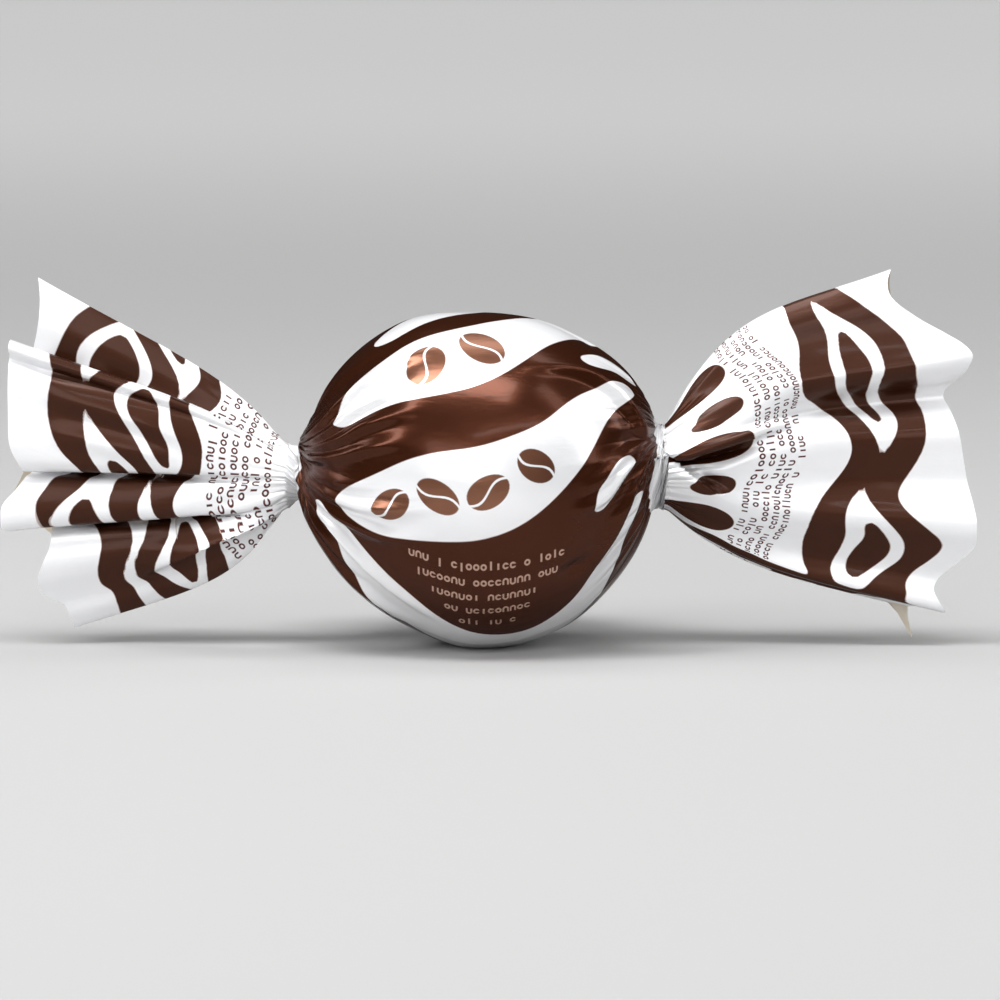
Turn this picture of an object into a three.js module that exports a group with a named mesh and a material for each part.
// A chocolate truffle shut in one sheet of printed film, twisted at both ends.
// Millimetres, +Z up. X runs along the twist, the front faces -Y, and the origin is the middle of the small
// flat spot that the ball rests on. The pack is shut, so it is one solid: the ball and both necks are full, and
// only the two fan-shaped tails are open, as thin walls round the mouth that the cut edges of the film leave.
import * as THREE from "three";

// Driving dimensions: millimetres and degrees.
const BALL_RADIUS = 18.7; // ball of 30 g with its film, across the twist axis
const BALL_HALF_LENGTH = 19.4; // along the twist axis the film bulges a little past the ball
const REST_DEPTH = 0.45; // how far the ball is flattened where it rests
const SHOULDER = 72; // angle from the middle of the ball at which the film leaves it for a neck
const WALL = 0.45; // wall of a tail, with the air that creased film holds
const CAVITY_START = 0.34; // share of a tail's reach at which its two layers part
const INNER_SPREAD = 0.9; // share of the fan's lines that its hollow takes, as the corners are full
const BLEND_ANGLE = 6; // half the angle over which a fan's upper half passes into its lower half
const PLEAT_HEIGHT = 0.55; // creases that gather the film towards a neck
const PLEAT_FROM = 28; // angle from the middle of the ball at which the creases begin

// Fineness.
const LOOP_POINTS = 64; // points round one loop of film: half of them front, half back
const PLEAT_POINTS = 4; // points that one crease takes
const BALL_LOOPS = 23;
const SHOULDER_LOOPS = 3;
const NECK_LOOPS = 2;
const TAIL_LOOPS = 11;
const CORNER_START = 0.95; // share of a tail's reach past which its bottom corner hangs out
const CORNER_POINTS = 1; // points of the mouth that this corner takes on either side
const CAVITY_LOOPS = 7;
const TWIST_POINTS = 20; // how many points a line of film turns by between the ball and a tail

// A rise is the height of the film's middle above the middle of the ball: at the ball's side, at its shoulder, at
// the neck, where the film is narrowest, at the root, where the tail begins, and at the pivot of the tail's fan.
// A line of film leaves the root at startSlope times its angle and reaches the mouth at endSlope times it; startPull
// and endPull say for how much of the usual reach it keeps to each. Each key is one crease or wave of the film where
// it is cut off: the angle above the twist axis, the reach from the pivot, and the depth (negative is nearer the
// front). The front keys run from the top corner to the bottom one and give the number of points up to the next.
const LEFT_TAIL = {
  side: -1,
  sideRise: 0.9,
  shoulderRise: 0.9,
  neckX: 20.2,
  neckRise: 0.9,
  neckRadius: 2.7,
  rootX: 21.6,
  rootRise: 0.45,
  rootRadius: 3.15,
  pivotX: 20.05,
  pivotRise: 0.53,
  usualReach: { up: 36, down: 31 },
  startSlope: { up: 1.5, down: 1.72 },
  endSlope: { up: 0.8, down: 0.52 },
  startPull: { up: 0.27, down: 0.34 },
  endPull: { up: 0.42, down: 0.52 },
  cornerShift: { x: 0, z: 0 },
  front: [
    { angle: 37.4, reach: 36.3, depth: 0.6, points: 3 },
    { angle: 31.0, reach: 34.2, depth: -0.2, points: 3 },
    { angle: 26.0, reach: 33.0, depth: -0.5, points: 1 },
    { angle: 25.4, reach: 35.5, depth: -2.5, points: 2 },
    { angle: 22.0, reach: 34.9, depth: -3.2, points: 3 },
    { angle: 12.0, reach: 33.2, depth: -3.5, points: 2 },
    { angle: 5.0, reach: 32.6, depth: -3.3, points: 2 },
    { angle: 1.6, reach: 30.6, depth: -1.4, points: 3 },
    { angle: -5.0, reach: 32.2, depth: -3.0, points: 2 },
    { angle: -10.0, reach: 32.5, depth: -2.7, points: 1 },
    { angle: -10.7, reach: 29.0, depth: -1.2, points: 2 },
    { angle: -14.0, reach: 29.3, depth: -1.3, points: 2 },
    { angle: -18.7, reach: 30.5, depth: -1.8, points: 2 },
    { angle: -25.0, reach: 31.2, depth: -1.4, points: 2 },
    { angle: -28.0, reach: 30.3, depth: -0.9, points: 2 },
    { angle: -33.9, reach: 30.6, depth: 0.3, points: 0 },
  ],
  back: [
    { angle: 37.4, reach: 36.3, depth: 0.6 },
    { angle: 29.0, reach: 32.8, depth: 1.7 },
    { angle: 16.0, reach: 33.0, depth: 2.8 },
    { angle: 6.0, reach: 31.4, depth: 1.4 },
    { angle: -5.0, reach: 31.8, depth: 2.8 },
    { angle: -15.0, reach: 28.9, depth: 1.4 },
    { angle: -26.0, reach: 30.0, depth: 2.3 },
    { angle: -33.9, reach: 30.6, depth: 0.3 },
  ],
};
const RIGHT_TAIL = {
  side: 1,
  sideRise: 0.2,
  shoulderRise: 1.7,
  neckX: 19.9,
  neckRise: 1.6,
  neckRadius: 4.3,
  rootX: 20.5,
  rootRise: 1.5,
  rootRadius: 4.35,
  pivotX: 20.15,
  pivotRise: 0.97,
  usualReach: { up: 34, down: 34 },
  startSlope: { up: 1.52, down: 1.6 },
  endSlope: { up: 0.49, down: 0.52 },
  startPull: { up: 0.46, down: 0.32 },
  endPull: { up: 0.4, down: 0.42 },
  cornerShift: { x: 0.4, z: -3.2 },
  front: [
    { angle: 41.7, reach: 33.9, depth: 0.2, points: 4 },
    { angle: 36.4, reach: 32.1, depth: -1.5, points: 3 },
    { angle: 27.1, reach: 34.7, depth: -2.6, points: 2 },
    { angle: 22.0, reach: 36.1, depth: -3.5, points: 3 },
    { angle: 15.2, reach: 32.5, depth: -0.9, points: 3 },
    { angle: 8.0, reach: 33.2, depth: -2.5, points: 3 },
    { angle: -1.5, reach: 33.8, depth: -2.3, points: 3 },
    { angle: -8.8, reach: 34.9, depth: -3.6, points: 2 },
    { angle: -13.7, reach: 35.1, depth: -3.0, points: 2 },
    { angle: -20.5, reach: 33.0, depth: -1.9, points: 2 },
    { angle: -22.6, reach: 32.9, depth: -1.5, points: 3 },
    { angle: -26.6, reach: 34.9, depth: -1.0, points: 1 },
    { angle: -27.4, reach: 34.0, depth: 0.2, points: 1 },
    { angle: -29.0, reach: 31.6, depth: 1.0, points: 0 },
  ],
  back: [
    { angle: 41.7, reach: 33.9, depth: 0.2 },
    { angle: 33.0, reach: 31.8, depth: 1.6 },
    { angle: 24.0, reach: 34.0, depth: 1.0 },
    { angle: 12.0, reach: 32.0, depth: 2.8 },
    { angle: 2.0, reach: 32.8, depth: 1.2 },
    { angle: -8.0, reach: 33.5, depth: 2.6 },
    { angle: -18.0, reach: 32.5, depth: 2.0 },
    { angle: -25.5, reach: 32.0, depth: 2.5 },
    { angle: -29.0, reach: 31.6, depth: 1.0 },
  ],
};

const radians = THREE.MathUtils.degToRad;
const { lerp, smoothstep } = THREE.MathUtils;
const HALF = LOOP_POINTS / 2;
const BALL_Z = BALL_RADIUS - REST_DEPTH;

// The height of the creases at a point of the loop: one ridge and one valley to every PLEAT_POINTS points,
// no two ridges quite alike.
function pleat(point) {
  const ridge = Math.cos((2 * Math.PI * point) / PLEAT_POINTS);
  return ridge * (0.75 + 0.25 * Math.sin(1.7 * point));
}

// One loop of film round the twist axis. The points run from the top over the front, the bottom and the back,
// and each is turned on by the twist that the film has there.
function roundLoop(x, rise, radius, creaseHeight, twist) {
  return Array.from({ length: LOOP_POINTS }, (_, point) => {
    const angle = radians(90 - (360 * point) / LOOP_POINTS + twist);
    const reach = radius + creaseHeight * pleat(point);
    const z = BALL_Z + rise + reach * Math.sin(angle);
    return new THREE.Vector3(x, -reach * Math.cos(angle), Math.max(0, z));
  });
}

// Film drawn towards a neck runs along straight lines that pass the axis at a distance, so it turns
// more and more as its radius falls to the neck's.
function ballTwist(radius, tail) {
  const miss = 0.9 * tail.neckRadius;
  return THREE.MathUtils.radToDeg(Math.asin(miss / radius) - Math.asin(miss / BALL_RADIUS));
}

function ballLoops() {
  return Array.from({ length: BALL_LOOPS }, (_, i) => {
    const latitude = lerp(-SHOULDER, SHOULDER, i / (BALL_LOOPS - 1));
    const tail = latitude < 0 ? LEFT_TAIL : RIGHT_TAIL;
    const radius = BALL_RADIUS * Math.cos(radians(latitude));
    const drawn = smoothstep(Math.abs(latitude), PLEAT_FROM, SHOULDER);
    const x = BALL_HALF_LENGTH * Math.sin(radians(latitude));
    const rise = lerp(tail.sideRise * smoothstep(Math.abs(latitude), 0, PLEAT_FROM), tail.shoulderRise, drawn);
    return roundLoop(x, rise, radius, PLEAT_HEIGHT * drawn, ballTwist(radius, tail));
  });
}

// From the ball's shoulder to the narrowest place: the film leaves the ball along its own slope and
// bends round to run along the axis.
function shoulderLoops(tail) {
  const shoulder = radians(SHOULDER);
  const start = new THREE.Vector2(BALL_HALF_LENGTH * Math.sin(shoulder), BALL_RADIUS * Math.cos(shoulder));
  const run = (start.y - tail.neckRadius) / Math.tan(shoulder);
  const bend = new THREE.Vector2(start.x + run, tail.neckRadius);
  const profile = new THREE.QuadraticBezierCurve(start, bend, new THREE.Vector2(tail.neckX, tail.neckRadius));
  return Array.from({ length: SHOULDER_LOOPS }, (_, i) => {
    const share = (i + 1) / SHOULDER_LOOPS;
    const p = profile.getPoint(share);
    const rise = lerp(tail.shoulderRise, tail.neckRise, share);
    return roundLoop(tail.side * p.x, rise, p.y, Math.min(PLEAT_HEIGHT, 0.12 * p.y), ballTwist(p.y, tail));
  });
}

function neckLoops(tail) {
  const atShoulder = ballTwist(tail.neckRadius, tail);
  const full = (360 * TWIST_POINTS) / LOOP_POINTS;
  return Array.from({ length: NECK_LOOPS }, (_, i) => {
    const share = (i + 1) / NECK_LOOPS;
    const radius = lerp(tail.neckRadius, tail.rootRadius, share);
    return roundLoop(
      tail.side * lerp(tail.neckX, tail.rootX, share),
      lerp(tail.neckRise, tail.rootRise, share),
      radius,
      0.1 * radius,
      lerp(atShoulder, full, share),
    );
  });
}

// The slope of a row of keys at one of them: level on a crest or in a bed, between its neighbours' slopes elsewhere.
function keySlope(keys, i, name) {
  const slope = (a, b) => (b[name] - a[name]) / (b.angle - a.angle);
  if (i === 0 || i === keys.length - 1) return 0;
  const before = slope(keys[i - 1], keys[i]);
  const after = slope(keys[i], keys[i + 1]);
  return before * after > 0 ? (2 * before * after) / (before + after) : 0;
}

// The reach or depth of a layer of a tail's mouth at an angle, on a smooth wave through the keys.
function atAngle(keys, angle, name) {
  const found = keys.findIndex((key, i) => i > 0 && angle >= key.angle);
  const i = (found < 0 ? keys.length - 1 : found) - 1;
  const span = keys[i + 1].angle - keys[i].angle;
  const t = (angle - keys[i].angle) / span;
  const rise = t * t * (3 - 2 * t);
  return (
    lerp(keys[i][name], keys[i + 1][name], rise) +
    span * t * (1 - t) * ((1 - t) * keySlope(keys, i, name) - t * keySlope(keys, i + 1, name))
  );
}

const fanRange = (tail) => [tail.front.at(-1).angle, tail.front[0].angle];

// The angles of a tail's lines of film, from its top corner to its bottom corner.
function fanAngles(tail) {
  const angles = tail.front.slice(0, -1).flatMap((key, i) => {
    const next = tail.front[i + 1];
    return Array.from({ length: key.points }, (_, k) => lerp(key.angle, next.angle, k / key.points));
  });
  return [...angles, tail.front.at(-1).angle];
}

const polar = (degrees, length) =>
  new THREE.Vector2(Math.cos(radians(degrees)), Math.sin(radians(degrees))).multiplyScalar(length);

// The upper and the lower half of a fan have their own proportions, and blend where they meet.
const blended = (pair, angle) => lerp(pair.down, pair.up, smoothstep(angle, -BLEND_ANGLE, BLEND_ANGLE));

// A line of film seen from the front, measured from the pivot, from a height on the root to the tail's usual
// reach. Film that is cut off sooner or later follows the same line for less or more of it.
function filmLine(tail, startHeight, angle) {
  const reach = blended(tail.usualReach, angle);
  const start = new THREE.Vector2(tail.rootX - tail.pivotX, startHeight);
  const end = polar(angle, reach);
  const pull = polar(angle * blended(tail.startSlope, angle), reach * blended(tail.startPull, angle)).add(start);
  const slack = polar(angle * blended(tail.endSlope, angle), -reach * blended(tail.endPull, angle)).add(end);
  return new THREE.CubicBezierCurve(start, pull, slack, end);
}

// The depth of a tail's inner wall: a wall's thickness behind the deepest film within that distance to either
// side, so that it stays clear of a fold's edge, and never past the middle between the two layers.
function innerDepth(tail, angle, outward, opened) {
  const aside = THREE.MathUtils.radToDeg(WALL / (opened * blended(tail.usualReach, angle)));
  const beside = [-aside, 0, aside].map((step) => THREE.MathUtils.clamp(angle + step, ...fanRange(tail)));
  const deepest = (keys, sign) => sign * Math.min(...beside.map((near) => sign * atAngle(keys, near, "depth")));
  const front = deepest(tail.front, -1);
  const back = deepest(tail.back, 1);
  const middle = (front + back) / 2;
  const leastGap = 0.15 * (back - front);
  return middle + outward * Math.max(leastGap, (back - front) / 2 - WALL);
}

// One point of a tail. line counts round the loop: 0 is the top corner, HALF the bottom corner, and past it the
// back layer runs up again behind the same angles. share is 0 at the root and 1 at the cut edge.
function tailPoint(tail, angles, line, share, isInner) {
  const isBack = line > HALF;
  const outward = isBack ? 1 : -1;
  const keys = isBack ? tail.back : tail.front;
  const rank = isBack ? LOOP_POINTS - line : line;
  const place = isInner ? lerp(HALF / 2, rank, INNER_SPREAD) : rank;
  const low = Math.min(Math.floor(place), HALF - 1);
  const angle = lerp(angles[low], angles[low + 1], place - low);
  const reach = Math.min(...[angle, angles[rank]].map((near) => atAngle(keys, near, "reach")));
  const opened = (share * reach) / blended(tail.usualReach, angle);

  const turn = radians(90 - (180 * place) / HALF);
  const startHeight = tail.rootRise - tail.pivotRise + tail.rootRadius * Math.sin(turn);
  const p = filmLine(tail, startHeight, angle).getPoint(opened);

  const isCorner = rank === 0 || rank === HALF;
  const rootDepth = outward * (tail.rootRadius - (isInner ? WALL : 0)) * Math.cos(turn);
  const mouthDepth = isInner ? innerDepth(tail, angle, isCorner ? 0 : outward, opened) : atAngle(keys, angle, "depth");
  const fade = smoothstep(opened, 0, 0.12) * (1 - smoothstep(opened, 0.25, 0.6));
  const crease = outward * PLEAT_HEIGHT * pleat((isBack ? -place : place) + TWIST_POINTS) * fade * Math.cos(turn);
  const y = lerp(isInner && isCorner ? 0 : rootDepth, mouthDepth, smoothstep(opened, 0, 0.75)) + crease;

  const shift = Math.max(0, 1 - (HALF - place) / CORNER_POINTS) * smoothstep(share, CORNER_START, 1);
  const x = tail.side * (tail.pivotX + p.x + tail.cornerShift.x * shift);
  return new THREE.Vector3(x, y, BALL_Z + tail.pivotRise + p.y + tail.cornerShift.z * shift);
}

function tailLoop(tail, share, isInner) {
  const angles = fanAngles(tail);
  return Array.from({ length: LOOP_POINTS }, (_, point) => {
    const line = (point - TWIST_POINTS + LOOP_POINTS) % LOOP_POINTS;
    return tailPoint(tail, angles, line, share, isInner);
  });
}

// From the root out to the cut edge, over the rim, and back in along the inner walls.
function tailLoops(tail) {
  const even = Array.from({ length: TAIL_LOOPS - 1 }, (_, i) => (i + 1) / TAIL_LOOPS);
  const outer = [...even, CORNER_START, 1].map((share) => tailLoop(tail, share, false));
  const inner = Array.from({ length: CAVITY_LOOPS }, (_, i) =>
    tailLoop(tail, lerp(1, CAVITY_START, i / (CAVITY_LOOPS - 1)), true),
  );
  return [...outer, ...inner];
}

// A closed skin over a stack of loops, with a pole in the middle of the first and the last loop. Each four-sided
// patch is split along its shorter diagonal.
function skin(loops) {
  const middle = (loop) => loop.reduce((sum, p) => sum.add(p), new THREE.Vector3()).divideScalar(loop.length);
  const points = [middle(loops[0]), ...loops.flat(), middle(loops.at(-1))];
  const last = points.length - 1;
  const at = (loop, point) => 1 + loop * LOOP_POINTS + (point % LOOP_POINTS);
  const faces = [];
  for (let point = 0; point < LOOP_POINTS; point++) {
    faces.push(0, at(0, point + 1), at(0, point));
    for (let loop = 0; loop < loops.length - 1; loop++) {
      const a = at(loop, point);
      const b = at(loop, point + 1);
      const c = at(loop + 1, point + 1);
      const d = at(loop + 1, point);
      const isShorter = points[a].distanceTo(points[c]) < points[b].distanceTo(points[d]);
      faces.push(...(isShorter ? [a, b, c, a, c, d] : [a, b, d, b, c, d]));
    }
    faces.push(last, at(loops.length - 1, point), at(loops.length - 1, point + 1));
  }
  const geometry = new THREE.BufferGeometry().setFromPoints(points);
  geometry.setIndex(faces);
  geometry.computeVertexNormals();
  return geometry;
}

const wrapper = new THREE.Mesh(
  skin([
    ...tailLoops(LEFT_TAIL).reverse(),
    ...neckLoops(LEFT_TAIL).reverse(),
    ...shoulderLoops(LEFT_TAIL).reverse(),
    ...ballLoops(),
    ...shoulderLoops(RIGHT_TAIL),
    ...neckLoops(RIGHT_TAIL),
    ...tailLoops(RIGHT_TAIL),
  ]),
  new THREE.MeshStandardMaterial({ color: 0x4a2a1c, roughness: 0.3, metalness: 0.4 }),
);
wrapper.name = "wrapped_truffle";

const truffle = new THREE.Group();
truffle.add(wrapper);
export default truffle;
